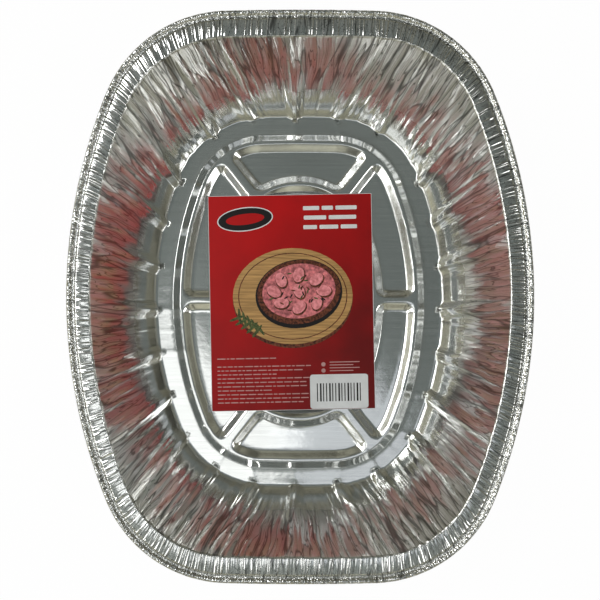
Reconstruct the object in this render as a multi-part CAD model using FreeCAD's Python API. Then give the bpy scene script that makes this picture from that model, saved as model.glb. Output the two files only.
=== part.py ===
import FreeCAD, Part

import math
import os
import random

from FreeCAD import Vector

os.makedirs("parts", exist_ok=True)

# Driving dimensions, in millimetres and degrees.
# X is the width, Y the length and Z is up. The pan stands on Z = 0, centred on the origin.

sheet = 0.3                 # thickness of the pan's skin

rim_width = 330.0           # over the rolled edge
rim_length = 405.0
rim_height = 73.0           # top of the rolled edge above the table
rim_corner_radius = 93.8
side_turn = 22.0            # half of the turn of each long side's shallow arc
end_turn = 1.6              # half of the turn of each end's nearly straight arc

bead_radius = 1.9           # the rolled edge, to its outer skin
bead_corners = 8            # flats in a full turn of the roll
bead_flats = 6              # flats that the sheet is rolled through
groove_width = 2.7          # between the crimped flange and the rolled edge
groove_depth = 1.0          # under the flange

flange_drop = 1.0           # the flange lies this far under the top of the rolled edge
flange_side_width = 9.6     # crimped band along the long sides
flange_end_width = 12.2     # crimped band across the two ends
crimp_step = 2.3            # from one fold of the crimped band to the next
crimp_depth = 0.36

floor_width = 230.4         # across the foot of the wall
floor_length = 297.0
floor_corner_radius = 77.2
foot_rise = 1.2             # the small bend between floor and wall
foot_run = 1.5

rib_depth = 2.6             # gathers that stand inward from the wall, at their foot
rib_shoulder_height = 19.0
rib_shoulder_depth = 2.1
rib_end_height = 45.0       # above this the gathers run out
rib_end_depth = 0.6
rib_foot_width = 12.6
rib_crown_width = 3.0
side_rib_count = 7
side_rib_pitch = 35.0
side_rib_shift = -6.5       # along Y, on both long sides
end_rib_count = 5
end_rib_pitch = 34.0
end_rib_shift = -3.0        # along X, on both ends
crease_step = 11.0          # longest plain stretch between two creases of the wall
crease_depth = 0.7
fold_seed = 5               # chooses where the uneven folds fall

panel_depth = 3.6           # sunk panels of the floor, under the ribs around them
panel_slope_run = 6.0       # plan width of a panel's sloping side
panel_corner_radius = 8.2   # at the upper edge of the slope
panel_band = 31.0           # plan width of the outer panels, between upper edges
network_corner_radius = 58.0
centre_corner_radius = 50.0
margin_width = 14.0         # flat ring that the pan stands on
rib_land = 2.2              # flat top of the floor's ribs
curve_play = 0.3            # how far the flats of a panel's edge may leave its true curve
spoke_land = 6.0            # flat top of the slanting ribs between outer panels
spoke_turn = 51.7           # of the slanting ribs, from the X axis
cross_rib_land = 4.0        # flat top of the rib that parts the long sides' panels
cross_rib_shift = 1.0       # along Y

card_width = 131.0          # printed card that lies on the floor's ribs
card_length = 172.5
card_thickness = 0.3
card_turn = 1.1
card_x = -5.8
card_y = -0.9

# Heights and widths that follow from them.
flange_height = rim_height - flange_drop
bead_height = rim_height - bead_radius
rolled_width = 2 * bead_radius
border_width = rolled_width + groove_width
network_inset = margin_width + panel_slope_run
centre_inset = network_inset + rib_land + panel_band + rib_land


def oval(width, length, corner_radius):
    """Eight arcs that run anticlockwise around an oval, each as (centre, radius, start, sweep)."""
    side, end = math.radians(side_turn), math.radians(end_turn)
    # Two equations close a quarter of the oval and give the side and the end radius.
    p, q = 1 - math.cos(side), math.sin(end)
    r, s = math.sin(side), 1 - math.cos(end)
    # The corner is limited by its walls: the end's arc is never tighter than the corner.
    room = (1 - p - q) * r - (1 - s - r) * p + q * r - p * s
    corner_radius = min(corner_radius, (width * r - length * p) / 2 / room)
    u = width / 2 - corner_radius * (math.cos(side) - math.sin(end))
    v = length / 2 + corner_radius * (math.sin(side) - math.cos(end))
    side_radius = (u * s - q * v) / (p * s - q * r)
    end_radius = (p * v - u * r) / (p * s - q * r)
    side_centre = width / 2 - side_radius
    end_centre = length / 2 - end_radius
    corner_x = side_centre + (side_radius - corner_radius) * math.cos(side)
    corner_y = (side_radius - corner_radius) * math.sin(side)
    arcs = []
    for turn, right, top in ((0, 1, 1), (1, -1, 1), (2, -1, -1), (3, 1, -1)):
        middle = turn * math.pi / 2
        if turn % 2 == 0:
            half = side
            arcs.append((Vector(right * side_centre, 0), side_radius, middle - half, 2 * half))
        else:
            half = end
            arcs.append((Vector(0, top * end_centre), end_radius, middle - half, 2 * half))
        corner = Vector(right * corner_x, top * corner_y)
        arcs.append((corner, corner_radius, middle + half, math.pi / 2 - side - end))
    return arcs


def inset_oval(width, length, corner_radius, inset):
    """Oval that lies inside another by the same inset all round."""
    return oval(width - 2 * inset, length - 2 * inset, corner_radius - inset)


def length_of(arcs):
    return sum(radius * sweep for _, radius, _, sweep in arcs)


def spot_at(arcs, distance):
    """Arc number and share of that arc, for a distance run from the start of the first arc."""
    distance %= length_of(arcs)
    for number, (_, radius, _, sweep) in enumerate(arcs):
        if distance <= radius * sweep:
            return number, distance / (radius * sweep)
        distance -= radius * sweep
    return 0, 0.0


def point_at(arcs, spot, outward, height):
    """Point of an oval at a spot, moved square to the oval by outward."""
    number, share = spot
    centre, radius, start, sweep = arcs[number]
    angle = start + share * sweep
    return centre + Vector(math.cos(angle), math.sin(angle)) * (radius + outward) + Vector(0, 0, height)


def oval_face(arcs, outward, height):
    edges = []
    for number in range(len(arcs)):
        ends = [point_at(arcs, (number, share), outward, height) for share in (0.0, 0.5, 1.0)]
        edges.append(Part.Arc(*ends).toShape())
    return Part.Face(Part.Wire(edges))


rim = (rim_width, rim_length, rim_corner_radius)
bead_oval = inset_oval(*rim, bead_radius)
groove_oval = inset_oval(*rim, rolled_width + groove_width / 2)
flange_oval = inset_oval(*rim, border_width)
floor_oval = oval(floor_width, floor_length, floor_corner_radius)
wall_width = rim_width - 2 * (border_width + flange_side_width)
wall_length = rim_length - 2 * (border_width + flange_end_width)
wall_oval = oval(wall_width, wall_length, rim_corner_radius - border_width - flange_side_width)


def rib_places():
    """Middles of the wall's ribs, as distances around the foot of the wall from +X on."""
    places = []
    for turn in range(4):
        if turn % 2 == 0:
            count, pitch, shift = side_rib_count, side_rib_pitch, side_rib_shift
        else:
            count, pitch, shift = end_rib_count, end_rib_pitch, -end_rib_shift
        middle = turn * length_of(floor_oval) / 4 + (shift if turn < 2 else -shift)
        places += [middle + (k - (count - 1) / 2) * pitch for k in range(count)]
    return places


def wall_stations():
    """Spots around the wall: (spot, share of the rib depth, share of the crease depth)."""
    places = rib_places()
    chance = random.Random(fold_seed)
    rows = []
    for middle, following in zip(places, places[1:] + [places[0] + length_of(floor_oval)]):
        for side in (-1, 1):
            rows.append((middle + side * rib_foot_width / 2, 0.0, 0.0))
            rows.append((middle + side * rib_crown_width / 2, 1.0, 0.0))
        start = middle + rib_foot_width / 2
        plain = following - middle - rib_foot_width
        creases = max(1, math.ceil(plain / crease_step) - 1)
        for k in range(creases):
            place = (k + 1 + chance.uniform(-0.2, 0.2)) / (creases + 1)
            rows.append((start + plain * place, 0.0, chance.choice((-1, 1))))
    to_side_middle = length_of(floor_oval[:1]) / 2
    return [(spot_at(floor_oval, to_side_middle + row[0]), row[1], row[2]) for row in sorted(rows)]


stations = wall_stations()


def between(a, b, share):
    return a + (b - a) * share


def plain_ring(arcs, outward, height):
    return [point_at(arcs, spot, outward, height) for spot, _, _ in stations]


def wall_rings(under):
    """Rings of the wall from the floor to the flange, on its inner skin or on the skin under it."""
    run, rise = (wall_width - floor_width) / 2, flange_height - sheet
    slope = math.atan2(rise, run)
    rings = []
    for height, rib, crease in (
        (sheet, rib_depth, 0.0),
        (sheet + foot_rise, rib_depth, 0.0),
        (rib_shoulder_height, rib_shoulder_depth, crease_depth / 2),
        (rib_end_height, rib_end_depth, crease_depth),
        (flange_height, 0.0, 0.0),
    ):
        foot_share = min(1.0, (height - sheet) / foot_rise) * foot_run / run
        climb = max(0.0, height - sheet - foot_rise) / (rise - foot_rise)
        share = foot_share + (1 - foot_share) * climb
        outward, drop = 0.0, 0.0
        if under:
            drop = sheet if height in (sheet, flange_height) else sheet * math.cos(slope)
            outward = sheet * math.sin(slope) - (drop - sheet * math.cos(slope)) / math.tan(slope)
        ring = []
        for spot, rib_share, crease_share in stations:
            moved = outward - rib * rib_share - crease * crease_share
            foot = point_at(floor_oval, spot, moved, height - drop)
            top = point_at(wall_oval, spot, moved, height - drop)
            ring.append(between(foot, top, share))
        rings.append(ring)
    return rings


def crimp_places():
    """Folds of the flange as (station, share of the way to the next one, lift)."""
    chance = random.Random(fold_seed)
    corners = plain_ring(flange_oval, 0.0, 0.0)
    places = []
    for j, corner in enumerate(corners):
        reach = corner.distanceToPoint(corners[(j + 1) % len(corners)])
        steps = max(1, round(reach / crimp_step))
        for i in range(steps):
            up = 1 if len(places) % 2 else -1
            places.append((j, i / steps, up * crimp_depth / 2 * chance.uniform(0.5, 1.0)))
    return places


def crimp_ring(places, height):
    corners = plain_ring(flange_oval, 0.0, height)
    ring = []
    for j, share, lift in places:
        point = between(corners[j], corners[(j + 1) % len(corners)], share)
        ring.append(point + Vector(0, 0, lift))
    return ring


def roll_rings(radius):
    """Rings of the rolled edge, which turns from the groove over the top and under."""
    rings = []
    for k in range(bead_flats + 1):
        angle = math.pi - k * 2 * math.pi / bead_corners
        out, up = radius * math.cos(angle), radius * math.sin(angle)
        rings.append(plain_ring(bead_oval, out, bead_height + up))
    return rings


def band(low, high):
    """Triangles between two rings with the same number of points."""
    triangles = []
    for a, b, c, d in zip(low, high, high[1:] + high[:1], low[1:] + low[:1]):
        triangles += [(a, b, c), (a, c, d)]
    return triangles


def fan(coarse, fine, places):
    """Triangles between the plain ring and the crimped ring outside it."""
    triangles = []
    for j, corner in enumerate(coarse):
        following = coarse[(j + 1) % len(coarse)]
        first = next(number for number, place in enumerate(places) if place[0] == j)
        steps = sum(1 for place in places if place[0] == j)
        folds = [fine[(first + i) % len(fine)] for i in range(steps + 1)]
        half = (steps + 1) // 2
        for i in range(steps):
            triangles.append((corner if i < half else following, folds[i], folds[i + 1]))
        triangles.append((corner, folds[half], following))
    return triangles


def turned(triangles):
    return [(a, c, b) for a, b, c in triangles]


def capped_solid(triangles, rings):
    """Solid from a skin of triangles and flat faces that close its open rings."""
    points = [point for ring in triangles for point in ring]
    facets = [(i, i + 1, i + 2) for i in range(0, len(points), 3)]
    skin = Part.Shape()
    skin.makeShapeFromMesh((points, facets), sheet / 100)
    caps = [Part.Face(Part.makePolygon(ring + ring[:1])) for ring in rings]
    closed = Part.makeCompound(skin.Faces + caps)
    closed.sewShape(sheet / 100)
    solid = Part.Solid(closed.Shells[0])
    if solid.Volume < 0:
        solid.reverse()
    return solid


def plain_pan():
    """The gathered wall, the crimped flange and the rolled edge on a flat floor."""
    places = crimp_places()
    triangles = []
    wall = wall_rings(False)
    wall_under = wall_rings(True)
    groove_height = flange_height - groove_depth
    roll = [plain_ring(groove_oval, 0.0, groove_height)] + roll_rings(bead_radius)
    roll_under = [plain_ring(groove_oval, 0.0, groove_height - sheet)] + roll_rings(bead_radius - sheet)
    for rings, rolls, turn in ((wall, roll, list), (wall_under, roll_under, turned)):
        crimps = crimp_ring(places, flange_height if rings is wall else flange_height - sheet)
        for low, high in zip(rings, rings[1:]):
            triangles += turn(band(low, high))
        triangles += turn(fan(rings[-1], crimps, places))
        triangles += turn(turned(fan(rolls[0], crimps, places)))
        for low, high in zip(rolls, rolls[1:]):
            triangles += turn(band(low, high))
    triangles += band(roll[-1], roll_under[-1])
    return capped_solid(triangles, (wall[0], wall_under[0]))


def land_strip(x, y, angle, width, length):
    """Flat strip that runs from a point at an angle, to part two panels."""
    strip = Part.makePlane(length, width, Vector(0, -width / 2, 0))
    strip.rotate(Vector(), Vector(0, 0, 1), angle)
    strip.translate(Vector(x, y, 0))
    return strip


def panel_faces(network_oval):
    """Flat outlines of the centre panel and of the six panels around it."""
    centre_oval = oval(floor_width - 2 * centre_inset, floor_length - 2 * centre_inset, centre_corner_radius)
    around = oval_face(network_oval, -panel_slope_run - rib_land, 0.0)
    around = around.cut(oval_face(centre_oval, rib_land, 0.0))
    for number in (1, 3, 5, 7):
        corner = network_oval[number][0]
        angle = math.degrees(math.atan2(math.copysign(1, corner.y), math.copysign(1, corner.x)))
        lean = spoke_turn - 45
        angle += lean if corner.x * corner.y > 0 else -lean
        around = around.cut(land_strip(corner.x, corner.y, angle, spoke_land, rim_length))
    for angle in (0, 180):
        around = around.cut(land_strip(0.0, cross_rib_shift, angle, cross_rib_land, floor_width))
    return around.Faces + [oval_face(centre_oval, 0.0, 0.0)]


def straightened(upper, lower):
    """Two parallel outlines as lists with the same number of points."""
    rings = ([], [])
    for pair in zip(upper.OrderedEdges, lower.OrderedEdges):
        steps = 1
        if isinstance(pair[0].Curve, Part.Circle):
            longest = math.sqrt(8 * curve_play * pair[0].Curve.Radius)
            steps = max(2, math.ceil(pair[0].Length / longest))
        for edge, ring in zip(pair, rings):
            points = edge.discretize(steps + 1)
            if edge.Orientation == "Reversed":
                points.reverse()
            ring.extend(points[:-1])
    return rings


def sloped_solid(upper, lower):
    """Solid between a lower outline and a parallel upper one, the panel depth above it."""
    high, low = straightened(upper.OuterWire, lower.OuterWire)
    high = [point + Vector(0, 0, panel_depth) for point in high]
    return capped_solid(band(low, high), (low, high))


def rib_network():
    """Raised ribs of the floor: a low oval table with sloping sides and its sunk panels cut out."""
    network_oval = oval(floor_width - 2 * margin_width, floor_length - 2 * margin_width, network_corner_radius)
    table_top = oval_face(network_oval, -panel_slope_run, 0.0)
    network = sloped_solid(table_top, oval_face(network_oval, 0.0, 0.0))
    for face in panel_faces(network_oval):
        core = face.makeOffset2D(-panel_corner_radius)
        upper = core.makeOffset2D(panel_corner_radius)
        lower = core.makeOffset2D(panel_corner_radius - panel_slope_run)
        network = network.cut(sloped_solid(upper, lower))
    return network


def foil_pan():
    """One sheet, pressed and gathered: the ribs of the floor are hollow from below."""
    network = rib_network()
    raised = network.translated(Vector(0, 0, sheet))
    return plain_pan().fuse(raised).cut(network)


def label_card():
    """Printed card that lies loose on the tops of the floor's ribs."""
    card = Part.makeBox(card_width, card_length, card_thickness, Vector(-card_width / 2, -card_length / 2, 0))
    card.rotate(Vector(), Vector(0, 0, 1), card_turn)
    card.translate(Vector(card_x, card_y, sheet + panel_depth))
    return card


for name, make in (("foil_pan", foil_pan), ("label_card", label_card)):
    make().exportStep("parts/" + name + ".step")
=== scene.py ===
import math
import random

import bpy
import numpy as np
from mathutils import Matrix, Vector


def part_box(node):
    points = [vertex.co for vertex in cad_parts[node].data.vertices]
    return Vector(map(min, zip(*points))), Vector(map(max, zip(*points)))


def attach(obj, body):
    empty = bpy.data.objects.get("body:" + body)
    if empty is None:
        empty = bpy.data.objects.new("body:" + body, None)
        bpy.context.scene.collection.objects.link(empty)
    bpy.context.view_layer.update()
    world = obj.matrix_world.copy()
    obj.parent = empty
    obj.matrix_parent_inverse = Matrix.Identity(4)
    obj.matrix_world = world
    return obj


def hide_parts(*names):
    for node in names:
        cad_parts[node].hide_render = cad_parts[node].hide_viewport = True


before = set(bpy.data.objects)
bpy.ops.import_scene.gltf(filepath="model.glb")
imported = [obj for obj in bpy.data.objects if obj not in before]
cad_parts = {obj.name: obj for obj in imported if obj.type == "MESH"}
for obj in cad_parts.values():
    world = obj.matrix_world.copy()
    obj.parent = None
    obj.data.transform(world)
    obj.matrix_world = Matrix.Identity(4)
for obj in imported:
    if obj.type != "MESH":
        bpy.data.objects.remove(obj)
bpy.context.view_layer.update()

bl_info = {
    "name": "Foil roasting pan",
    "version": (1, 0, 0),
    "blender": (4, 5, 0),
    "location": "View3D > Sidebar > Roasting pan",
    "description": "Dresses the packed pan and its card, and sets up a plain studio",
    "category": "Object",
}

PAN_LOW, PAN_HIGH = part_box("foil_pan")
CARD_LOW, CARD_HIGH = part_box("label_card")
MM = 0.001

# Columns around the pan: fine ones carry the folds of the wall and the rim, plain ones the rest.
FINE_COLUMNS, PLAIN_COLUMNS = 1080, 540
# Shares of the wall's height at which its inner and outer faces have rings.
FINE_HEIGHTS = (0.0, 0.006, 0.013, 0.022, 0.05, 0.09, 0.14, 0.20, 0.27, 0.34, 0.41, 0.48, 0.55, 0.62,
                0.69, 0.76, 0.83, 0.89, 0.94, 0.98, 1.0)
PLAIN_HEIGHTS = (1.0, 0.97, 0.9, 0.8, 0.7, 0.6, 0.5, 0.4, 0.3, 0.2, 0.1, 0.02, 0.0)
# The wall's ribs: how many on a side or an end, their pitch, and how far their middle is shifted.
SIDE_RIBS = (7, 35.0 * MM, -6.5 * MM)
END_RIBS = (5, 34.0 * MM, 3.0 * MM)
SHORT_CREASES = 620
CREASE_SPOTS = 2000
FOLD_SEED, CRIMP_SEED, PRINT_SEED = 11, 23, 4


def linear(hex_colour):
    """Linear RGBA of an sRGB hex value."""
    channels = [int(hex_colour[i:i + 2], 16) / 255 for i in (1, 3, 5)]
    return tuple(c / 12.92 if c <= 0.04045 else ((c + 0.055) / 1.055) ** 2.4 for c in channels) + (1.0,)


def toned(colour, share):
    """A colour made darker or lighter, with no channel over 1."""
    return tuple(min(1.0, share * c) for c in colour[:3]) + (1.0,)


def length_property(name, description, value):
    return bpy.props.FloatProperty(
        name=name, description=description, default=value, unit="LENGTH", precision=5)


def angle_property(name, description, degrees):
    return bpy.props.FloatProperty(
        name=name, description=description, default=math.radians(degrees), subtype="ANGLE")


def colour_property(name, description, hex_colour):
    return bpy.props.FloatVectorProperty(
        name=name, description=description, default=linear(hex_colour), size=4, subtype="COLOR",
        min=0, max=1)


class PanSizes(bpy.types.PropertyGroup):
    """Sizes of the pressed sheet, as the solids have them."""

    sheet: length_property("Sheet", "Thickness of the sheet", 0.3 * MM)
    rim_width: length_property("Rim width", "Over the rolled edge, across", PAN_HIGH[0] - PAN_LOW[0])
    rim_length: length_property("Rim length", "Over the rolled edge, along", 405.0 * MM)
    rim_height: length_property("Rim height", "Top of the rolled edge", PAN_HIGH[2] - PAN_LOW[2])
    rim_corner: length_property("Rim corner", "Radius of the rim's corners", 93.8 * MM)
    side_turn: angle_property("Side turn", "Half of the turn of a long side's arc", 22.0)
    end_turn: angle_property("End turn", "Half of the turn of an end's arc", 1.6)
    bead_radius: length_property("Rolled edge", "Radius of the rolled edge", 1.9 * MM)
    groove_width: length_property("Groove width", "Between flange and rolled edge", 2.7 * MM)
    groove_depth: length_property("Groove depth", "Under the flange", 1.0 * MM)
    flange_drop: length_property("Flange drop", "Flange under the top of the rolled edge", 1.0 * MM)
    flange_side: length_property("Flange at sides", "Width of the crimped band", 9.6 * MM)
    flange_end: length_property("Flange at ends", "Width of the crimped band", 12.2 * MM)
    crimp_pitch: length_property("Crimp pitch", "From crimp to crimp", 4.6 * MM)
    crimp_depth: length_property("Crimp depth", "Of the crimped band", 0.42 * MM)
    floor_width: length_property("Floor width", "Across the foot of the wall", 230.4 * MM)
    floor_length: length_property("Floor length", "Along the foot of the wall", 297.0 * MM)
    floor_corner: length_property("Floor corner", "Radius of the floor's corners", 77.2 * MM)
    foot_rise: length_property("Foot rise", "Height of the bend at the floor", 1.2 * MM)
    foot_run: length_property("Foot run", "Width of the bend at the floor", 1.5 * MM)
    rib_depth: length_property("Rib depth", "Of the wall's gathers at their foot", 2.6 * MM)
    rib_foot: length_property("Rib foot width", "Of the wall's gathers", 12.6 * MM)
    rib_crown: length_property("Rib crown width", "Of the wall's gathers", 3.0 * MM)
    panel_depth: length_property("Panel depth", "Of the floor's sunk panels", 3.6 * MM)
    panel_run: length_property("Panel slope", "Plan width of a panel's side", 6.0 * MM)
    panel_corner: length_property("Panel corner", "Radius at the slope's upper edge", 8.2 * MM)
    panel_band: length_property("Panel band", "Plan width of the outer panels", 31.0 * MM)
    network_corner: length_property("Ring rib corner", "Radius of the ring rib's corners", 58.0 * MM)
    centre_corner: length_property("Centre corner", "Radius of the centre panel's corners", 50.0 * MM)
    margin: length_property("Margin", "Flat ring that the pan stands on", 14.0 * MM)
    rib_land: length_property("Rib land", "Flat top of the floor's ribs", 2.2 * MM)
    spoke_land: length_property("Spoke land", "Flat top of the slanting ribs", 6.0 * MM)
    spoke_turn: angle_property("Spoke turn", "Of the slanting ribs, from X", 51.7)
    cross_land: length_property("Cross rib land", "Flat top of the cross ribs", 4.0 * MM)
    cross_shift: length_property("Cross rib shift", "Along Y", 1.0 * MM)


class CardSizes(bpy.types.PropertyGroup):
    """The printed card that lies in the pan."""

    width: length_property("Width", "Of the card", 131.0 * MM)
    length: length_property("Length", "Of the card", 172.5 * MM)
    turn: angle_property("Turn", "Of the card on the floor", 1.1)


class Finishes(bpy.types.PropertyGroup):
    """Colours of the pan, the card and the studio."""

    foil: colour_property("Foil", "Bare rolled aluminium", "#E9EAE8")
    # Card red and card dark red are one red ground: the dark red is painted shade toward the card's lower
    # right.
    card_red: colour_property("Card red", "Printed ground, near the upper left", "#BE0004")
    card_red_painted_shade: colour_property("Card dark red", "Printed ground, near the lower right", "#680203")
    card_white: colour_property("Card white", "Bare coated card", "#EEF0F2")
    pale: colour_property("Pale print", "Small printed dashes", "#D8A8A6")
    board: colour_property("Board", "Printed wooden board", "#D2A468")
    crust: colour_property("Crust", "Printed dark brown", "#4A2618")
    rose: colour_property("Rose", "Printed rose pink", "#CC7478")
    leaf: colour_property("Leaf", "Printed herb green", "#47522E")
    ink: colour_property("Ink", "Printed near black", "#1B1718")
    table: colour_property("Table", "Studio floor", "#FFFFFF")


# Ovals


def oval(sizes, width, length, corner):
    """Eight arcs around an oval, anticlockwise from +X: rows of centre, radius, start and sweep."""
    side, end = sizes.side_turn, sizes.end_turn
    p, q = 1 - math.cos(side), math.sin(end)
    r, s = math.sin(side), 1 - math.cos(end)
    u = width / 2 - corner * (math.cos(side) - math.sin(end))
    v = length / 2 + corner * (math.sin(side) - math.cos(end))
    side_radius = (u * s - q * v) / (p * s - q * r)
    end_radius = (p * v - u * r) / (p * s - q * r)
    side_centre = width / 2 - side_radius
    end_centre = length / 2 - end_radius
    corner_x = side_centre + (side_radius - corner) * math.cos(side)
    corner_y = (side_radius - corner) * math.sin(side)
    rows = []
    for turn, right, top in ((0, 1, 1), (1, -1, 1), (2, -1, -1), (3, 1, -1)):
        middle = turn * math.pi / 2
        if turn % 2 == 0:
            half = side
            rows.append((right * side_centre, 0.0, side_radius, middle - half, 2 * half))
        else:
            half = end
            rows.append((0.0, top * end_centre, end_radius, middle - half, 2 * half))
        rows.append((right * corner_x, top * corner_y, corner, middle + half, math.pi / 2 - side - end))
    return np.array(rows)


def arc_lengths(arcs):
    return arcs[:, 2] * arcs[:, 4]


class Columns:
    """Evenly spread columns around the pan: for each, its arc and its share of that arc."""

    def __init__(self, count, arcs):
        ends = np.cumsum(arc_lengths(arcs))
        places = np.arange(count) / count * ends[-1]
        self.count = count
        self.arc = np.searchsorted(ends, places, side="right")
        self.share = (places - (ends - arc_lengths(arcs))[self.arc]) / arc_lengths(arcs)[self.arc]

    def run(self, arcs):
        """Distance of each column along another oval, and the whole way around it."""
        lengths = arc_lengths(arcs)
        starts = np.cumsum(lengths) - lengths
        return starts[self.arc] + self.share * lengths[self.arc], lengths.sum()

    def normals(self, arcs):
        angle = arcs[self.arc, 3] + self.share * arcs[self.arc, 4]
        return np.stack((np.cos(angle), np.sin(angle)), axis=1)

    def ring(self, arcs, outward=0.0):
        """Plan points of the columns on an oval, moved out square to it."""
        reach = arcs[self.arc, 2] + outward
        return arcs[self.arc, :2] + self.normals(arcs) * reach[:, None]


def inside(sizes, arcs, x, y):
    """How far plan points lie inside an oval; outside it the value is negative."""
    x, y = np.abs(x), np.abs(y)
    (side_x, _, side_r), (corner_x, corner_y, corner_r), (_, end_y, end_r) = arcs[:3, :3]
    by_side = side_r - np.hypot(x - side_x, y)
    by_corner = corner_r - np.hypot(x - corner_x, y - corner_y)
    by_end = end_r - np.hypot(x, y - end_y)
    at_side = np.arctan2(y, x - side_x) < sizes.side_turn
    at_end = np.arctan2(x, y - end_y) < sizes.end_turn
    return np.where(at_side, by_side, np.where(at_end, by_end, by_corner))


def smooth_step(low, high, values):
    t = np.clip((values - low) / (high - low), 0, 1)
    return t * t * (3 - 2 * t)


def ramp(distance, run, bend):
    """Slope from 0 to 1 over a run, with small bends at its foot and top."""
    x, b = distance / run, bend / run
    low = np.where(x < -b, 0.0, np.where(x < b, (x + b) ** 2 / (4 * b), x))
    y = 1 - low
    return 1 - np.where(y < -b, 0.0, np.where(y < b, (y + b) ** 2 / (4 * b), y))


# The pressed sheet


class PanForm:
    """Heights and folds of the pan, worked out for any set of columns."""

    def __init__(self, sizes):
        self.s = s = sizes
        border = 2 * s.bead_radius + s.groove_width
        self.flange_height = s.rim_height - s.flange_drop
        self.floor = oval(s, s.floor_width, s.floor_length, s.floor_corner)
        self.wall_width = s.rim_width - 2 * (border + s.flange_side)
        wall_length = s.rim_length - 2 * (border + s.flange_end)
        self.wall = oval(s, self.wall_width, wall_length, s.rim_corner - border - s.flange_side)
        self.flange = self.rim_inset(border)
        self.groove = self.rim_inset(2 * s.bead_radius + s.groove_width / 2)
        self.bead = self.rim_inset(s.bead_radius)
        width, length = s.floor_width - 2 * s.margin, s.floor_length - 2 * s.margin
        self.network = oval(s, width, length, s.network_corner)
        inset = s.panel_run + 2 * s.rib_land + s.panel_band
        self.centre = oval(s, width - 2 * inset, length - 2 * inset, s.centre_corner)
        self.middle = (self.floor + self.wall) / 2
        self.rib_places = self.pick_ribs()
        self.creases = self.pick_creases()

    def rim_inset(self, inset):
        s = self.s
        return oval(s, s.rim_width - 2 * inset, s.rim_length - 2 * inset, s.rim_corner - inset)

    def pick_ribs(self):
        """Middles of the wall's ribs: seven on each long side and five on each end."""
        around = arc_lengths(self.floor).sum()
        start = arc_lengths(self.floor)[0] / 2
        places = []
        for turn in range(4):
            count, pitch, shift = END_RIBS if turn % 2 else SIDE_RIBS
            middle = start + turn * around / 4 + (shift if turn < 2 else -shift)
            places += [middle + (k - (count - 1) / 2) * pitch for k in range(count)]
        return places

    def pick_creases(self):
        """Uneven folds of the wall: (place around, lean, low, high, width, depth)."""
        chance = random.Random(FOLD_SEED)
        creases = []
        around = arc_lengths(self.middle).sum()
        is_corner = Columns(CREASE_SPOTS, self.middle).arc % 2 == 1
        for _ in range(SHORT_CREASES):
            k = chance.randrange(CREASE_SPOTS)
            place = k / CREASE_SPOTS * around
            if is_corner[k]:
                high = chance.uniform(0.45, 1.04)
                low = high - chance.uniform(0.35, 0.95)
                lean, width = chance.gauss(0, 0.09), chance.uniform(0.8, 1.9) * MM
                depth = chance.uniform(0.15, 0.60) * MM
            else:
                if chance.random() < 0.35:
                    continue
                high = chance.uniform(0.55, 1.04)
                low = high - chance.uniform(0.25, 0.7)
                lean, width = chance.gauss(0, 0.07), chance.uniform(0.7, 1.6) * MM
                depth = chance.uniform(0.10, 0.42) * MM
            creases.append((place, lean, low, high, width, depth * chance.choice((-1, 1, 1))))
        # Long pleats stand close together round the corners and apart on the sides and ends.
        place = 0.0
        while place < around:
            corner = is_corner[int(place / around * CREASE_SPOTS)]
            low = chance.uniform(0.02, 0.35) if corner else chance.uniform(0.25, 0.6)
            depth = (chance.uniform(0.7, 1.4) if corner else chance.uniform(0.4, 0.9)) * MM
            lean, width = chance.gauss(0, 0.06), chance.uniform(1.3, 2.4) * MM
            creases.append((place, lean, low, chance.uniform(1.0, 1.1), width, depth))
            place += chance.uniform(4.5, 8.5) * MM if corner else chance.uniform(7, 14) * MM
        # Each rib ends in two sharp folds that run on up the wall.
        share_of_way = around / arc_lengths(self.floor).sum()
        for rib in self.rib_places:
            for side in (-1, 1):
                place = rib * share_of_way + side * chance.uniform(2.6, 4.2) * MM
                reach = chance.uniform(0.5, 0.8)
                depth = chance.uniform(0.35, 0.6) * MM
                creases.append((place, -side * 0.05, -0.1, reach, 0.9 * MM, depth))
        return creases

    def relief(self, x, y):
        """Height of the floor's pressed ribs over its flat margin."""
        s = self.s
        bend = 0.45 * MM
        table = inside(s, self.network, x, y)
        field = table - s.panel_run - s.rib_land
        centre = inside(s, self.centre, x, y)
        corner_x, corner_y = self.network[1, :2]
        turn_cos, turn_sin = math.cos(s.spoke_turn), math.sin(s.spoke_turn)
        over_spoke = (np.abs(y) - corner_y) * turn_cos - (np.abs(x) - corner_x) * turn_sin
        cross = np.abs(y - s.cross_shift) - s.cross_land / 2
        end_panel = (field, -centre - s.rib_land, over_spoke - s.spoke_land / 2)
        side_panel = (field, -centre - s.rib_land, -over_spoke - s.spoke_land / 2, cross)
        sunk = np.zeros_like(x)
        for sides in (end_panel, side_panel, (centre,)):
            short = sum(np.maximum(s.panel_corner - side, 0) ** 2 for side in sides)
            sunk = np.maximum(sunk, ramp(s.panel_corner - np.sqrt(short), s.panel_run, bend))
        return s.panel_depth * (ramp(table, s.panel_run, bend) - sunk)

    def unevenness(self, x, y):
        """Slow waves of thin foil, a few hundredths of a millimetre high."""
        a = np.sin(x / (17 * MM) + 1.3) * np.sin(y / (23 * MM) + 0.4)
        b = np.sin((x + 0.6 * y) / (11 * MM) + 2.1) * np.sin((y - 0.3 * x) / (14 * MM))
        return 0.035 * MM * (a + 0.6 * b)

    def rib(self, columns):
        """Share of the wall rib's depth at each column."""
        run, around = columns.run(self.floor)
        total = np.zeros(columns.count)
        flank = (self.s.rib_foot - self.s.rib_crown) / 2
        for number, place in enumerate(self.rib_places):
            away = np.abs((run - place + around / 2) % around - around / 2)
            full = 0.85 + 0.15 * math.sin(2.3 * number)
            total += full * ramp(self.s.rib_foot / 2 - away, flank, 0.2 * MM)
        return total

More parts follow.
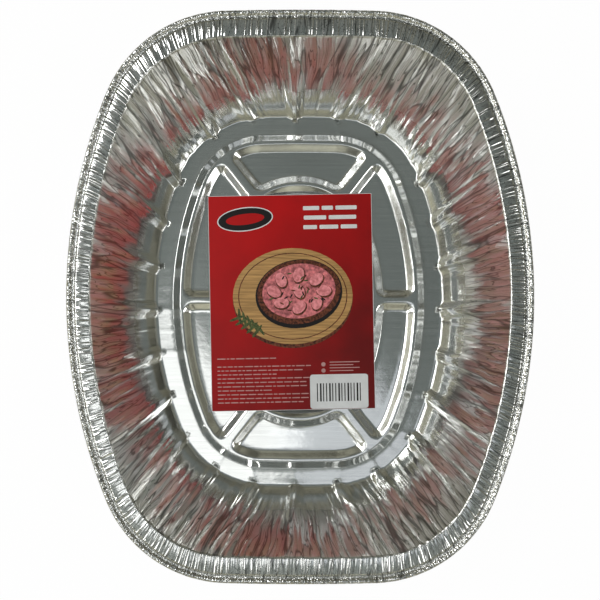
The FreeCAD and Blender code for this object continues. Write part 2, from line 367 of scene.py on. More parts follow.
    def margin_waves(self, columns, plan):
        """Low ridges of the flat margin and the ring rib, one from the foot of each wall rib."""
        run, around = columns.run(self.floor)
        wave = np.zeros(columns.count)
        for number, place in enumerate(self.rib_places):
            away = (run - place + around / 2) % around - around / 2
            high = (0.10 + 0.05 * math.sin(1.7 * number)) * MM
            ridge = high * np.exp(-(away / (2.4 * MM)) ** 2)
            swell = 0.4 * high * np.cos(away / (5.5 * MM)) * (np.abs(away) < 17 * MM)
            wave += ridge + swell
        depth_in = inside(self.s, self.floor, plan[:, 0], plan[:, 1])
        return wave * smooth_step(0.0, 2 * MM, depth_in) * (1 - smooth_step(19 * MM, 26 * MM, depth_in))

    def folds(self, columns, share):
        """Inward depth of the wall's ribs and uneven folds, at a share of its height."""
        height = share * self.flange_height
        marks = (0, 19 * MM, 45 * MM, 60 * MM, self.flange_height)
        fade = np.interp(height, marks, (1.0, 0.95, 0.70, 0.38, 0.06))
        depth = self.rib(columns) * self.s.rib_depth * fade
        run, around = columns.run(self.middle)
        for place, lean, low, high, width, deep in self.creases:
            if not low < share < high:
                continue
            t = (share - low) / (high - low)
            window = math.sin(math.pi * t) ** 0.7
            centre = place + lean * (share - low) * self.flange_height
            away = (run - centre + around / 2) % around - around / 2
            reach = 1.7 * width
            depth += deep * window * np.maximum(0.0, 1 - np.abs(away) / reach)
        slow = np.sin(run / (9 * MM) + 3 * share) + 0.7 * np.sin(run / (5.3 * MM) - 5 * share + 1)
        return depth + 0.10 * MM * slow * math.sin(math.pi * min(share, 1.0))

    def floor_ring(self, columns, plan, under):
        """One ring of the floor with its heights, nowhere under the table's top."""
        x, y = plan[:, 0], plan[:, 1]
        wave = self.unevenness(x, y) * smooth_step(0.0, 6 * MM, inside(self.s, self.network, x, y))
        wave = wave + self.margin_waves(columns, plan)
        z = np.maximum(self.s.sheet + self.relief(x, y) + wave - under, 0.0)
        return np.column_stack((plan, z))

    def floor_rings(self, columns, fine, under):
        """Rings of the floor, from its middle out to the foot of the wall."""
        s = self.s
        steps = 1 if fine else 2
        rings = []
        for inset in (44, 30, 18, 10, 7)[::steps]:
            rings.append(columns.ring(self.centre, -inset * MM))
        # Close rings where a slope meets a panel or a rib's flat top, wider ones between.
        run, land = s.panel_run / MM, s.rib_land / MM
        top, deep = run + land, 2 * run + land
        slope = [-run - 0.4, -run, -run + 0.5, -run + 2, -run + 4, -0.6, 0, 0.4, land / 2, land - 0.4,
                 land, land + 0.6, land + 2, land + 4, top - 0.5, top, top + 0.5]
        for out in slope[::steps]:
            rings.append(columns.ring(self.centre, out * MM))
        inner = columns.ring(self.centre, (top + 0.7) * MM)
        outer = columns.ring(self.network, -(deep + 0.6) * MM)
        for share in np.linspace(0, 1, 7)[1:-1:steps]:
            rings.append(inner + (outer - inner) * share)
        slope = [-deep - 0.5, -deep, -deep + 0.5, -deep + 2, -deep + 4, -top - 0.5, -top, -top + 0.4,
                 -run - land / 2, -run - 0.4, -run, -run + 0.5, -run + 2, -run + 4, -0.5, 0, 0.5]
        for out in slope[::steps]:
            rings.append(columns.ring(self.network, out * MM))
        for share in (0.3, 0.6, 0.9)[::steps]:
            a, b = columns.ring(self.network, 0.5 * MM), columns.ring(self.floor, -0.8 * MM)
            rings.append(a + (b - a) * share)
        return [self.floor_ring(columns, plan, under) for plan in rings]

    def wall_rings(self, columns, heights, under):
        """Rings of the wall at shares of its height; the sheet's underside lies square to it."""
        s = self.s
        run = (self.wall_width - s.floor_width) / 2
        rise = self.flange_height - s.sheet
        slope = math.atan2(rise, run)
        normals = columns.normals(self.wall)
        bend_up, bend_out = (0, 0.3 * s.foot_rise, s.foot_rise), (0, 0.62 * s.foot_run, s.foot_run)
        rings = []
        for share in heights:
            height = share * rise
            foot = np.interp(height, bend_up, bend_out) / run
            climb = max(0.0, height - s.foot_rise) / (rise - s.foot_rise)
            out = foot + (1 - foot) * climb
            low = columns.ring(self.floor, under * math.sin(slope))
            high = columns.ring(self.wall, under * math.sin(slope))
            plan = low + (high - low) * out - normals * self.folds(columns, share)[:, None]
            z = np.full(columns.count, s.sheet + height - under * math.cos(slope))
            rings.append(np.column_stack((plan, z)))
        return rings

    def crimps(self, columns, drift):
        """Lift of the crimped flange at each column, between -1 and 1."""
        run, around = columns.run(self.flange)
        chance = random.Random(CRIMP_SEED)
        folds, lifts, place, up = [], [], 0.0, 1
        while place < around - self.s.crimp_pitch / 4:
            folds.append(place)
            lifts.append(up * chance.uniform(0.35, 1.0))
            place += self.s.crimp_pitch / 2 * chance.uniform(0.55, 1.45)
            up = -up
        folds.append(around)
        lifts.append(lifts[0])
        phase = drift * 0.9 * MM * np.sin(run / (31 * MM))
        coarse = np.interp((run + phase) % around, folds, lifts)
        return coarse + 0.18 * np.sin(run / (0.43 * MM) + 4 * np.sin(run / (7 * MM)))

    def flange_rings(self, columns, under, fine):
        rings = []
        rows = (0.03, 0.09, 0.2, 0.4, 0.6, 0.8, 0.93, 1.0) if fine else (0.12, 0.4, 0.75, 1.0)
        inner, outer = columns.ring(self.wall, under * 0.3), columns.ring(self.flange)
        for share in rows:
            plan = inner + (outer - inner) * share
            strength = smooth_step(0.0, 0.25, share) * (1 - 0.35 * smooth_step(0.85, 1.0, share))
            dome = 0.22 * MM * math.sin(math.pi * share)
            lift = self.crimps(columns, share) * self.s.crimp_depth / 2 * strength
            z = self.flange_height + dome + lift - under - 0.12 * MM * (1 - share) ** 2
            rings.append(np.column_stack((plan, z)))
        return rings

    def edge_rings(self, columns, under, fine):
        """Rings of the groove and of the sheet that rolls over and under."""
        s = self.s
        rings = []
        crimp = self.crimps(columns, 1.0)
        groove_z = self.flange_height - s.groove_depth - under
        groove = ((-0.75, 0.52), (-0.3, 0.1), (0.3, 0.0)) if fine else ((-0.3, 0.1),)
        for out, lift in groove:
            z = groove_z + lift * s.groove_depth + 0.10 * MM * crimp
            rings.append(np.column_stack((columns.ring(self.groove, out * MM), z)))
        run, _ = columns.run(self.bead)
        dent = 0.5 + 0.25 * np.sin(run / (0.9 * MM) + 3 * np.sin(run / (8 * MM)))
        dent = dent + 0.25 * np.sin(run / (2.1 * MM) + 1)
        radius = s.bead_radius - under - 0.16 * MM * dent
        for degrees in range(180, -91, -45):
            angle = math.radians(degrees)
            reach = radius
            if degrees in (90, 0):
                reach = radius + 0.5 * (s.bead_radius - under - radius)
            out = (reach * math.cos(angle))[:, None]
            plan = columns.ring(self.bead) + columns.normals(self.bead) * out
            z = s.rim_height - s.bead_radius + reach * math.sin(angle)
            rings.append(np.column_stack((plan, z)))
        return rings


def pan_rings(sizes):
    """The closed skin as one run of rings, from the top of the floor around the rim to its underside.

    With each ring goes how far its points take the fine folds of the wall, the flange and the edge."""
    form = PanForm(sizes)
    fine, plain = Columns(FINE_COLUMNS, form.middle), Columns(PLAIN_COLUMNS, form.middle)
    sheet = sizes.sheet
    rings, zones = [], []

    def add(more, wall, flange, edge):
        rings.extend(more)
        for number, ring in enumerate(more):
            columns = fine if len(ring) == fine.count else plain
            # The corners are gathered more than the sides and ends.
            corner = 0.88 + 0.12 * (columns.arc % 2)
            share = wall[number] if isinstance(wall, list) else wall
            rim = np.tile((flange, edge), (len(ring), 1))
            zones.append(np.column_stack((share * corner, rim)))

    def folded(heights):
        """Strength of the fine folds at shares of the wall's height; the bend at its foot has none."""
        return [0.12 + 0.88 * float(smooth_step(0.12, 0.6, h)) if h > 0.03 else 0.0 for h in heights]

    add(form.floor_rings(plain, True, 0.0), 0.0, 0.0, 0.0)
    add(form.wall_rings(fine, FINE_HEIGHTS, 0.0), folded(FINE_HEIGHTS), 0.0, 0.0)
    add(form.flange_rings(fine, 0.0, True), 0.0, 1.0, 0.0)
    add(form.edge_rings(fine, 0.0, True), 0.0, 0.3, 1.0)
    add(form.edge_rings(plain, sheet, False)[::-1], 0.0, 0.3, 1.0)
    add(form.flange_rings(fine, sheet, False)[::-1], 0.0, 1.0, 0.0)
    add(form.wall_rings(plain, PLAIN_HEIGHTS, sheet), folded(PLAIN_HEIGHTS), 0.0, 0.0)
    add(form.floor_rings(plain, False, sheet)[::-1], 0.0, 0.0, 0.0)
    return rings, zones, arc_lengths(form.middle).sum()


def stitched(rings):
    """Faces between rings that have the same number of points, or one twice that of the other."""
    faces, start = [], 0
    for low, high in zip(rings, rings[1:]):
        n, m = len(low), len(high)
        upper = start + n
        if n == m:
            for j in range(n):
                k = (j + 1) % n
                faces.append((start + j, start + k, upper + k, upper + j))
        else:
            coarse, fine, count = (start, upper, n) if n < m else (upper, start, m)
            for j in range(count):
                k = (j + 1) % count
                a, b, c = fine + 2 * j, fine + 2 * j + 1, fine + (2 * j + 2) % (2 * count)
                three = [(coarse + j, b, a), (coarse + j, coarse + k, b), (coarse + k, c, b)]
                faces += three if n < m else [face[::-1] for face in three]
        start = upper
    return faces


def mesh_object(name, points, faces, material):
    mesh = bpy.data.meshes.new(name)
    mesh.from_pydata([tuple(p) for p in points], [], faces)
    mesh.update()
    mesh.materials.append(material)
    mesh.polygons.foreach_set("use_smooth", [True] * len(mesh.polygons))
    obj = bpy.data.objects.new(name, mesh)
    bpy.context.scene.collection.objects.link(obj)
    return obj


def unrolled(obj, rings, zones, around):
    """Point attributes: a place on the unrolled sheet, wound on a cylinder, and the zones."""
    places, along = [], 0.0
    radius = around / (2 * math.pi)
    for number, ring in enumerate(rings):
        if number:
            along += float(np.linalg.norm(ring[0] - rings[number - 1][0]))
        angle = np.arange(len(ring)) / len(ring) * 2 * math.pi
        height = np.full(len(ring), along)
        places.append(np.column_stack((radius * np.cos(angle), radius * np.sin(angle), height)))
    for name, rows in (("unrolled", places), ("zones", zones)):
        layer = obj.data.attributes.new(name, "FLOAT_VECTOR", "POINT")
        layer.data.foreach_set("vector", np.vstack(rows).astype(np.float32).ravel())


# Materials


def add_node(tree, kind, settings=None, **links):
    """A node with its settings; socket_name=output makes a link, and socket_name=value sets a value.

    A socket that shares its name with others is given by its number, such as _0."""
    node = tree.nodes.new(kind)
    for key, value in (settings or {}).items():
        setattr(node, key, value)
    for key, value in links.items():
        socket = node.inputs[int(key[1:])] if key[0] == "_" else node.inputs[key.replace("_", " ")]
        if isinstance(value, bpy.types.NodeSocket):
            tree.links.new(value, socket)
        else:
            socket.default_value = value
    return node


def new_material(name):
    material = bpy.data.materials.new(name)
    material.use_nodes = True
    material.node_tree.nodes.clear()
    return material, material.node_tree


def colour_steps(tree, factor, steps):
    """Colour ramp with (place, linear colour) steps."""
    node = add_node(tree, "ShaderNodeValToRGB", Fac=factor)
    stops = node.color_ramp.elements
    for number, (place, colour) in enumerate(steps):
        stop = stops[number] if number < 2 else stops.new(place)
        stop.position = place
        stop.color = colour
    return node.outputs["Color"]


def sums(tree, operation, first, second, third=0.0):
    """One step of arithmetic on node outputs and numbers."""
    node = add_node(tree, "ShaderNodeMath", {"operation": operation}, _0=first, _1=second, _2=third)
    return node.outputs["Value"]


def stretched_noise(tree, vector, scales, detail):
    """Noise whose spots are 1 / scale metres long in each direction."""
    place = add_node(tree, "ShaderNodeMapping", Vector=vector, Scale=scales).outputs["Vector"]
    return add_node(tree, "ShaderNodeTexNoise", Vector=place, Scale=1.0, Detail=detail).outputs["Fac"]


def creased(tree, noise, depth):
    """Sharp folds where a noise passes its middle: a height in millimetres, and 0 on the fold's line."""
    off_middle = sums(tree, "ABSOLUTE", sums(tree, "SUBTRACT", noise, 0.5), 0.0)
    line = add_node(tree, "ShaderNodeMapRange", {"interpolation_type": "SMOOTHSTEP"}, Value=off_middle,
                    From_Min=0.0, From_Max=0.03).outputs["Result"]
    return sums(tree, "MULTIPLY", sums(tree, "POWER", off_middle, 0.65), depth), line


def leaning(tree, vector, turn):
    """Places on the wound sheet, twisted so that what runs up the wall leans to one side."""
    up = add_node(tree, "ShaderNodeSeparateXYZ", Vector=vector).outputs["Z"]
    angle = sums(tree, "MULTIPLY", up, turn)
    axis = {"rotation_type": "Z_AXIS"}
    return add_node(tree, "ShaderNodeVectorRotate", axis, Vector=vector, Angle=angle).outputs["Vector"]


def leaning_folds(tree, vector, turn, scales, detail, depth):
    """Long folds up the wall that lean to one side, as creased gives them."""
    return creased(tree, stretched_noise(tree, leaning(tree, vector, turn), scales, detail), depth)


def rolled_foil(finishes):
    """Rolled aluminium foil, bright side: a near mirror, drawn out by fine rolling lines along X."""
    material, tree = new_material("rolled_aluminium_foil")
    place = add_node(tree, "ShaderNodeTexCoord").outputs["Object"]
    sheet = add_node(tree, "ShaderNodeAttribute", {"attribute_name": "unrolled"}).outputs["Vector"]
    zone = add_node(tree, "ShaderNodeAttribute", {"attribute_name": "zones"}).outputs["Vector"]
    zones = add_node(tree, "ShaderNodeSeparateXYZ", Vector=zone).outputs
    # Folds wander by a few millimetres.
    push = add_node(tree, "ShaderNodeTexNoise", Vector=sheet, Scale=30.0, Detail=1.0).outputs["Color"]
    push = add_node(tree, "ShaderNodeVectorMath", {"operation": "SUBTRACT"}, _0=push, _1=(0.5, 0.5, 0.5))
    wander = add_node(tree, "ShaderNodeVectorMath", {"operation": "MULTIPLY_ADD"},
                      _0=push.outputs["Vector"], _1=(0.005, 0.005, 0.02), _2=sheet).outputs["Vector"]
    # Gathers of the wall: 5 to 9 mm apart, leaning both ways, with finer and shorter ones between.
    left, left_line = leaning_folds(tree, wander, 0.35, (115, 115, 7), 0.6, 0.85)
    right, right_line = leaning_folds(tree, wander, -0.3, (190, 190, 9), 0.6, 0.60)
    finer, finer_line = creased(tree, stretched_noise(tree, wander, (420, 420, 28), 1.0), 0.30)
    wall = sums(tree, "MULTIPLY", sums(tree, "ADD", sums(tree, "ADD", left, right), finer), zones["X"])
    # Crimps of the flange, 2 to 3 mm apart and as long as the flange is wide.
    crimps, crimp_line = leaning_folds(tree, sheet, 0.4, (400, 400, 16), 1.0, 0.8)
    flange = sums(tree, "MULTIPLY", crimps, zones["Y"])
    crinkle, crinkle_line = creased(tree, stretched_noise(tree, sheet, (650, 650, 520), 1.0), 0.6)
    edge = sums(tree, "MULTIPLY", crinkle, zones["Z"])
    # Narrow folds mirror only themselves and look dark, so each fold's line is painted as darker foil:
    # painted shade between bright ones.
    wall_line = sums(tree, "MULTIPLY", sums(tree, "MULTIPLY", left_line, right_line), finer_line)
    rim_line = sums(tree, "MULTIPLY", crimp_line, crinkle_line)
    wall_fold_painted_shade = sums(tree, "MULTIPLY", sums(tree, "SUBTRACT", 1.0, wall_line), zones["X"])
    on_rim = sums(tree, "MAXIMUM", zones["Y"], zones["Z"])
    rim_fold_painted_shade = sums(tree, "MULTIPLY", sums(tree, "SUBTRACT", 1.0, rim_line), on_rim)
    # Painted shade: the foil's colour is made up to 72% darker along the fold lines.
    light = sums(tree, "MULTIPLY_ADD", sums(tree, "MAXIMUM", wall_fold_painted_shade, rim_fold_painted_shade), -0.72, 1.0)
    # Rolling lines: drawn about 1 mm apart so that they show, and 6 cm long.
    lines = stretched_noise(tree, place, (16, 1100, 1100), 3.0)
    dimples = stretched_noise(tree, place, (140, 190, 160), 2.0)
    rest = sums(tree, "MULTIPLY_ADD", lines, 0.006, sums(tree, "MULTIPLY", dimples, 0.05))
    height = sums(tree, "ADD", sums(tree, "ADD", wall, flange), sums(tree, "ADD", edge, rest))
    bump = add_node(tree, "ShaderNodeBump", Strength=1.0, Distance=MM, Height=height)
    blur = add_node(tree, "ShaderNodeTexNoise", Vector=place, Scale=60.0, Detail=2.0).outputs["Fac"]
    rough = sums(tree, "MULTIPLY_ADD", blur, 0.08, 0.08)
    bare = colour_steps(tree, lines, ((0.3, toned(finishes.foil, 0.90)), (0.7, finishes.foil)))
    # The foil's colour carries the painted shade of the folds.
    shade = add_node(tree, "ShaderNodeVectorMath", {"operation": "SCALE"}, Vector=bare, Scale=light)
    colour = shade.outputs["Vector"]
    along = add_node(tree, "ShaderNodeCombineXYZ", X=0.0, Y=1.0, Z=0.0).outputs["Vector"]
    mirror = add_node(tree, "ShaderNodeBsdfPrincipled", Base_Color=colour, Metallic=1.0, Roughness=rough,
                      Anisotropic=0.5, Tangent=along, Normal=bump.outputs["Normal"])
    # Worked foil is hazy: wrinkles too fine to draw spread a part of what the wall mirrors.
    haze = add_node(tree, "ShaderNodeBsdfPrincipled", Base_Color=colour, Metallic=1.0, Roughness=0.34,
                    Normal=bump.outputs["Normal"])
    share = sums(tree, "MULTIPLY_ADD", zones["X"], 0.35, 0.08)
    mix = add_node(tree, "ShaderNodeMixShader", Fac=share)
    tree.links.new(mirror.outputs["BSDF"], mix.inputs[1])
    tree.links.new(haze.outputs["BSDF"], mix.inputs[2])
    add_node(tree, "ShaderNodeOutputMaterial", Surface=mix.outputs["Shader"])
    return material


def coated_card(name, light, dark, spots, sharp, painted_shade):
    """Coated paper board, offset printed: dull sheen over ink that varies from light to dark, in spots of
    print and in painted shade toward the card's lower right corner.

    Spots give the print's texture: how many of them go into a metre in each direction."""
    material, tree = new_material(name)
    place = add_node(tree, "ShaderNodeTexCoord").outputs["Object"]
    # Painted shade: the print is painted darker toward the card's lower right corner.
    painted_shade_slope = add_node(tree, "ShaderNodeVectorMath", {"operation": "DOT_PRODUCT"},
                    _0=place, _1=(4.4, -3.8, 0)).outputs["Value"]
    spot = sums(tree, "SUBTRACT", stretched_noise(tree, place, spots, 4.0), 0.5)
    tone = sums(tree, "MULTIPLY_ADD", spot, 2.2 * sharp, sums(tree, "MULTIPLY_ADD", painted_shade_slope, painted_shade, 0.5))
    colour = colour_steps(tree, tone, ((0.05, light), (0.95, dark)))
    fibre = stretched_noise(tree, place, (1500, 1500, 1500), 3.0)
    bump = add_node(tree, "ShaderNodeBump", Strength=0.12, Distance=0.02 * MM, Height=fibre)
    shader = add_node(tree, "ShaderNodeBsdfPrincipled", Base_Color=colour, Roughness=0.45,
                      Normal=bump.outputs["Normal"])
    shader.inputs["IOR"].default_value = 1.48
    shader.inputs["Specular IOR Level"].default_value = 0.3
    add_node(tree, "ShaderNodeOutputMaterial", Surface=shader.outputs["BSDF"])
    return material


# The card


def ellipse(x, y, across, along, turn=0.0, steps=40):
    """Outline of an ellipse in millimetres, with its half lengths and its turn in degrees."""
    c, s = math.cos(math.radians(turn)), math.sin(math.radians(turn))
    points = []
    for k in range(steps):
        a = 2 * math.pi * k / steps
        px, py = across * math.cos(a), along * math.sin(a)
        points.append((x + px * c - py * s, y + px * s + py * c))
    return points


def bar(x, y, wide, high, corner):
    """Outline of a bar with round corners, in millimetres, from its lower left corner."""
    points = []
    for right, top, start in ((1, 0, -90), (1, 1, 0), (0, 1, 90), (0, 0, 180)):
        cx = x + wide - corner if right else x + corner
        cy = y + high - corner if top else y + corner
        for k in range(5):
            a = math.radians(start + 22.5 * k)
            points.append((cx + corner * math.cos(a), cy + corner * math.sin(a)))
    return points


def card_fields(half_width, half_length):
    """Printed fields as (ink, level, outline in millimetres about the card's middle)."""
    w, h = half_width, half_length
    chance = random.Random(PRINT_SEED)
    fields = [("card_red", 1, bar(0.3 - w, 0.3 - h, 2 * w - 0.6, 2 * h - 0.6, 0.6))]

    # A stew pot on a round board, seen from above, with dumplings and herbs.
    px, py = 1.0, 5.0
    fields.append(("crust", 2, ellipse(px, py - 2.6, 48, 39)))
    fields.append(("board", 3, ellipse(px, py, 48, 38.5)))
    fields.append(("crust", 4, ellipse(px, py, 43.8, 34.8)))
    fields.append(("board", 5, ellipse(px, py, 43, 34.1)))
    fields.append(("ink", 6, ellipse(px + 5, py + 1.8, 35, 27.5, 8)))
    fields.append(("crust", 7, ellipse(px + 5, py + 3.2, 33.6, 25.6, 8)))
    fields.append(("rose", 8, ellipse(px + 5, py + 4, 29.5, 21.8, 8)))
    for k in range(9):
        reach = 0.0 if k == 8 else 1.0
        x = px + 5 + reach * 20 * math.cos(k * 0.785)
        y = py + 4 + reach * 13 * math.sin(k * 0.785)
        fields.append(("crust", 9, ellipse(x + 0.5, y - 0.9, 6.6, 4.9, 37 * k, 28)))
        fields.append(("rose_light", 10, ellipse(x, y, 6.0, 4.3, 37 * k, 28)))
    for k in range(26):
        a, reach = chance.uniform(0, 6.28), chance.uniform(0.1, 1)
        x, y = px + 5 + 26 * reach * math.cos(a), py + 4 + 18 * reach * math.sin(a)
        flake = ellipse(x, y, 1.9, 0.6, chance.uniform(0, 180), 12)
        fields.append((("leaf", "crust", "ink")[k % 3], 11, flake))
    for k in range(10):
        odd = k % 2
        x, y = px - 45 + 2.0 * k, py - 17 - 1.3 * k + 3 * odd
        fields.append(("leaf", 9 + odd, ellipse(x, y, 6.4, 1.2, 20 + 70 * odd + 4 * k, 16)))

    # Plain bars and a plain badge where a card has its words.
    for row, words in enumerate(((13, 9, 17), (18, 22), (11, 15, 13))):
        x = 32 - (sum(words) + 2 * (len(words) - 1)) / 2
        for wide in words:
            fields.append(("white", 2, bar(x, h - 12.6 - 7.6 * row, wide, 3.2, 0.7)))
            x += wide + 2
    fields.append(("white", 2, ellipse(-36, h - 19, 22.5, 9.6, 6)))
    fields.append(("ink", 3, ellipse(-36, h - 19, 21.6, 8.8, 6)))
    fields.append(("card_red", 4, ellipse(-36, h - 19, 15.5, 4.4, 6)))
    for row in range(12):
        if row == 1:
            continue
        x, last = 5.0 - w, (10.0 if row % 4 else -14.0) + chance.uniform(-3, 3)
        while x < last:
            wide = chance.uniform(2.0, 7.0)
            fields.append(("pale", 2, bar(x, 41.5 - h - row * 3.2, wide, 0.8, 0.3)))
            x += wide + 0.9
    for row in range(4):
        fields.append(("pale", 2, bar(w - 36, 37.5 - h - row * 2.3, 24 - 5 * (row % 2), 0.7, 0.3)))
    for row in range(2):
        fields.append(("pale", 2, ellipse(w - 41, 36.2 - h - row * 5, 1.7, 1.7, 0, 20)))

    # A bare white panel with an even row of plain bars.
    fields.append(("white", 2, bar(w - 52, 0.6 - h, 46.5, 27.5, 2.2)))
    for k in range(15):
        fields.append(("ink", 3, bar(w - 46.6 + 2.45 * k, 6.5 - h, 0.8 + 0.5 * (k % 3 == 1), 14.5, 0.1)))
    return fields


def card_inks(finishes):
    """One material for each ink."""
    f = finishes
    light_rose = toned(f.rose, 1.5)
    styles = {
        # The last number of each style sets its painted shade toward the card's lower right; the spots
        # are the print's texture.
        "card_red": (f.card_red, f.card_red_painted_shade, (30, 30, 30), 0.3, 1.0),
        "white": (f.card_white, toned(f.card_white, 0.8), (90, 90, 90), 0.6, 0.5),
        "pale": (f.pale, toned(f.pale, 0.6), (90, 90, 90), 0.6, 0.5),
        "board": (f.board, toned(f.board, 0.45), (40, 700, 700), 1.0, 0.2),
        "crust": (toned(f.crust, 3.0), toned(f.crust, 0.3), (500, 500, 500), 1.3, 0.0),
        "rose": (light_rose, toned(f.rose, 0.45), (330, 330, 330), 1.2, 0.0),
        "rose_light": (toned(light_rose, 1.4), f.rose, (420, 420, 420), 1.2, 0.0),
        "leaf": (toned(f.leaf, 2.0), toned(f.leaf, 0.4), (700, 700, 700), 1.2, 0.0),
        "ink": (f.ink, toned(f.ink, 0.5), (200, 200, 200), 0.8, 0.0),
    }
    inks = {}
    for key, style in styles.items():
        inks[key] = coated_card("coated_board_" + key, *style)
    return inks


def build_card(sizes, finishes):
    low, high = CARD_LOW[2], CARD_HIGH[2]
    middle = ((CARD_LOW[0] + CARD_HIGH[0]) / 2, (CARD_LOW[1] + CARD_HIGH[1]) / 2)
    inks = card_inks(finishes)
    names = list(inks)
    points, faces, slots = [], [], []

    def film(outline, bottom, top, ink):
        start, count = len(points), len(outline)
        points.extend((x * MM, y * MM, bottom) for x, y in outline)
        points.extend((x * MM, y * MM, top) for x, y in outline)
        faces.append(tuple(start + count + j for j in range(count)))
        faces.append(tuple(start + j for j in reversed(range(count))))
        for j in range(count):
            k = (j + 1) % count
            faces.append((start + j, start + k, start + count + k, start + count + j))
        slots.extend([names.index(ink)] * (count + 2))

    w, h = sizes.width / 2 / MM, sizes.length / 2 / MM
    sheet_top, step = high - 0.11 * MM, 0.009 * MM
    film(bar(-w, -h, 2 * w, 2 * h, 0.8), low, sheet_top, "white")
    for ink, level, outline in card_fields(w, h):
        film(outline, sheet_top - 0.02 * MM, sheet_top + level * step, ink)
    c, s = math.cos(sizes.turn), math.sin(sizes.turn)
    points = [(middle[0] + x * c - y * s, middle[1] + x * s + y * c, z) for x, y, z in points]
    obj = mesh_object("label_card_print", points, faces, inks[names[0]])
    for key in names[1:]:
        obj.data.materials.append(inks[key])
    obj.data.polygons.foreach_set("material_index", slots)
    obj.data.polygons.foreach_set("use_smooth", [False] * len(obj.data.polygons))
    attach(obj, "root")
    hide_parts("label_card")
    return obj


def build_pan(sizes, finishes):
    rings, zones, around = pan_rings(sizes)
    faces = stitched(rings)
    count = sum(len(ring) for ring in rings)
    last = len(rings[-1])
    faces.append(tuple(range(len(rings[0]))))
    faces.append(tuple(range(count - 1, count - last - 1, -1)))
    obj = mesh_object("foil_pan_sheet", np.vstack(rings), faces, rolled_foil(finishes))
    unrolled(obj, rings, zones, around)
    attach(obj, "root")
    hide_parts("foil_pan")
    return obj


# The studio


def soft_lamp(name, place, aim, width, height, power, colour=(1.0, 1.0, 1.0)):
    lamp = bpy.data.lights.new(name, "AREA")
    lamp.shape = "RECTANGLE"
    lamp.size, lamp.size_y, lamp.energy, lamp.color = width, height, power, colour
    obj = bpy.data.objects.new(name, lamp)
    obj.location = place
    obj.rotation_euler = (Vector(aim) - Vector(place)).to_track_quat("-Z", "Y").to_euler()
    bpy.context.scene.collection.objects.link(obj)
    return obj


def room_light():
    """Dim room: grey, browner near the horizon and cooler overhead, with soft uneven patches."""
    world = bpy.data.worlds.new("dim_room")
    bpy.context.scene.world = world
    world.use_nodes = True
    tree = world.node_tree
    tree.nodes.clear()
    way = add_node(tree, "ShaderNodeTexCoord").outputs["Generated"]
    up = add_node(tree, "ShaderNodeSeparateXYZ", Vector=way).outputs["Z"]
    tone = colour_steps(tree, up, (
        (0.0, linear("#767361")), (0.35, linear("#7E7B69")), (0.65, linear("#7F7E70")),
        (0.85, linear("#747772")), (1.0, linear("#6C7371"))))
    # Furniture and wall openings: upright patches, dark and bright, that fade out overhead.
    patch = stretched_noise(tree, way, (5.0, 5.0, 1.6), 2.0)
    level = add_node(tree, "ShaderNodeMapRange", Value=patch, From_Min=0.36, From_Max=0.64,
                     To_Min=-0.75, To_Max=0.95).outputs["Result"]
    low = add_node(tree, "ShaderNodeMapRange", Value=up, From_Min=0.95, From_Max=0.75, To_Min=0.15,
                   To_Max=1.0).outputs["Result"]
    level = sums(tree, "MULTIPLY_ADD", level, low, 1.0)
    # The room is brighter toward its windows, at -Y and -X.
    axes = add_node(tree, "ShaderNodeSeparateXYZ", Vector=way).outputs
    fall = sums(tree, "MULTIPLY_ADD", axes["Y"], -0.5, sums(tree, "MULTIPLY_ADD", axes["X"], -0.35, 1.1))
    strength = sums(tree, "MULTIPLY", level, sums(tree, "MAXIMUM", fall, 0.25))
    room = add_node(tree, "ShaderNodeBackground", Color=tone, Strength=strength)
    white = add_node(tree, "ShaderNodeBackground", Color=(1, 1, 1, 1), Strength=1.0)
    camera = add_node(tree, "ShaderNodeLightPath").outputs["Is Camera Ray"]
    mix = add_node(tree, "ShaderNodeMixShader", Fac=camera)
    tree.links.new(room.outputs["Background"], mix.inputs[1])
    tree.links.new(white.outputs["Background"], mix.inputs[2])
    add_node(tree, "ShaderNodeOutputWorld", Surface=mix.outputs["Shader"])


def studio_table(finishes):
    """Plain white laminate table, larger than the view."""
    material, tree = new_material("matt_white_laminate")
    place = add_node(tree, "ShaderNodeTexCoord").outputs["Object"]
    haze = add_node(tree, "ShaderNodeTexNoise", Vector=place, Scale=3.0, Detail=2.0)
    steps = ((0.3, toned(finishes.table, 0.97)), (0.7, finishes.table))
    colour = colour_steps(tree, haze.outputs["Fac"], steps)
    paint = add_node(tree, "ShaderNodeBsdfDiffuse", Color=colour)
    glow = add_node(tree, "ShaderNodeEmission", Color=(1, 1, 1, 1), Strength=1.0)
    camera = add_node(tree, "ShaderNodeLightPath").outputs["Is Camera Ray"]
    # The table is seen as white, and a part of its own shading keeps the pan's shadow.
    mix = add_node(tree, "ShaderNodeMixShader", Fac=sums(tree, "MULTIPLY", camera, 0.98))
    tree.links.new(paint.outputs["BSDF"], mix.inputs[1])
    tree.links.new(glow.outputs["Emission"], mix.inputs[2])
    add_node(tree, "ShaderNodeOutputMaterial", Surface=mix.outputs["Shader"])
    half = 2.5
    points = [(-half, -half, 0), (half, -half, 0), (half, half, 0), (-half, half, 0)]
    table = mesh_object("studio_table", points, [(0, 1, 2, 3)], material)
    table.location.z = -0.0002


def photo_camera():
    """Camera straight above the rim, a little off the middle of the pan, as in the photograph."""
    frame_px, rim_scale_px, height = 600, 1424.5, 0.489
    nadir_px = (289.0, 333.0)
    camera = bpy.data.cameras.new("photo_camera")
    camera.sensor_width = 36.0
    camera.lens = rim_scale_px * height * camera.sensor_width / frame_px
    camera.shift_x = (frame_px / 2 - nadir_px[0]) / frame_px
    camera.shift_y = (nadir_px[1] - frame_px / 2) / frame_px
    camera.clip_start = 0.01
    obj = bpy.data.objects.new("photo_camera", camera)
    obj.location = (-0.0079, -0.0254, PAN_HIGH[2] + height)
    bpy.context.scene.collection.objects.link(obj)
    bpy.context.scene.camera = obj


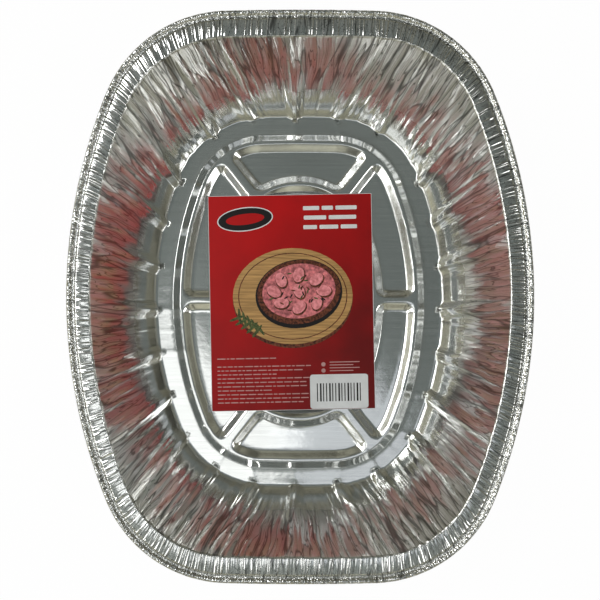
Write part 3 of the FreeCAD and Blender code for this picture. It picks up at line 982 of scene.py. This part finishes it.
class ROASTER_OT_pan(bpy.types.Operator):
    """Build the pressed and gathered foil sheet"""

    bl_idname = "roaster.pan"
    bl_label = "Build the pan"

    def execute(self, context):
        build_pan(context.scene.roaster_pan, context.scene.roaster_finishes)
        return {"FINISHED"}


class ROASTER_OT_card(bpy.types.Operator):
    """Build the printed card that lies in the pan"""

    bl_idname = "roaster.card"
    bl_label = "Build the card"

    def execute(self, context):
        build_card(context.scene.roaster_card, context.scene.roaster_finishes)
        return {"FINISHED"}


class ROASTER_OT_studio(bpy.types.Operator):
    """Set up the table, lamps, room light and camera"""

    bl_idname = "roaster.studio"
    bl_label = "Set up the studio"

    def execute(self, context):
        studio_table(context.scene.roaster_finishes)
        room_light()
        soft_lamp("left_skylight", (-0.32, -0.31, 1.5), (-0.03, 0, 0), 0.60, 0.44, 0.95)
        soft_lamp("right_skylight", (0.15, -0.33, 1.5), (-0.03, 0, 0), 0.34, 0.40, 0.25, (0.9, 0.92, 1.0))
        soft_lamp("right_window", (1.24, -0.52, 1.49), (0, 0, 0), 0.75, 0.46, 4.3)
        soft_lamp("left_window", (-1.24, -0.52, 1.49), (0, 0, 0), 0.75, 0.46, 3.4)
        soft_lamp("far_window", (-1.10, 0.45, 1.50), (0, 0, 0), 0.80, 0.50, 11.2)
        photo_camera()
        context.scene.view_settings.view_transform = "Standard"
        return {"FINISHED"}


class ROASTER_PT_panel(bpy.types.Panel):
    """Lists the pieces of the roasting pan"""

    bl_label = "Roasting pan"
    bl_space_type = "VIEW_3D"
    bl_region_type = "UI"
    bl_category = "Roasting pan"

    def draw(self, context):
        for operator in OPERATORS:
            self.layout.operator(operator.bl_idname)
        for group_name in GROUPS:
            group = getattr(context.scene, group_name)
            box = self.layout.box()
            for key in group.bl_rna.properties.keys():
                if key not in ("rna_type", "name"):
                    box.prop(group, key)


GROUPS = {"roaster_pan": PanSizes, "roaster_card": CardSizes, "roaster_finishes": Finishes}
OPERATORS = (ROASTER_OT_studio, ROASTER_OT_pan, ROASTER_OT_card)


def register():
    for group in (*GROUPS.values(), *OPERATORS, ROASTER_PT_panel):
        bpy.utils.register_class(group)
    for key, group in GROUPS.items():
        setattr(bpy.types.Scene, key, bpy.props.PointerProperty(type=group))


def unregister():
    for key in GROUPS:
        delattr(bpy.types.Scene, key)
    for group in (ROASTER_PT_panel, *reversed(OPERATORS), *reversed(list(GROUPS.values()))):
        bpy.utils.unregister_class(group)


def main():
    register()
    bpy.ops.roaster.studio()
    bpy.ops.roaster.pan()
    bpy.ops.roaster.card()


if __name__ == "__main__":
    main()
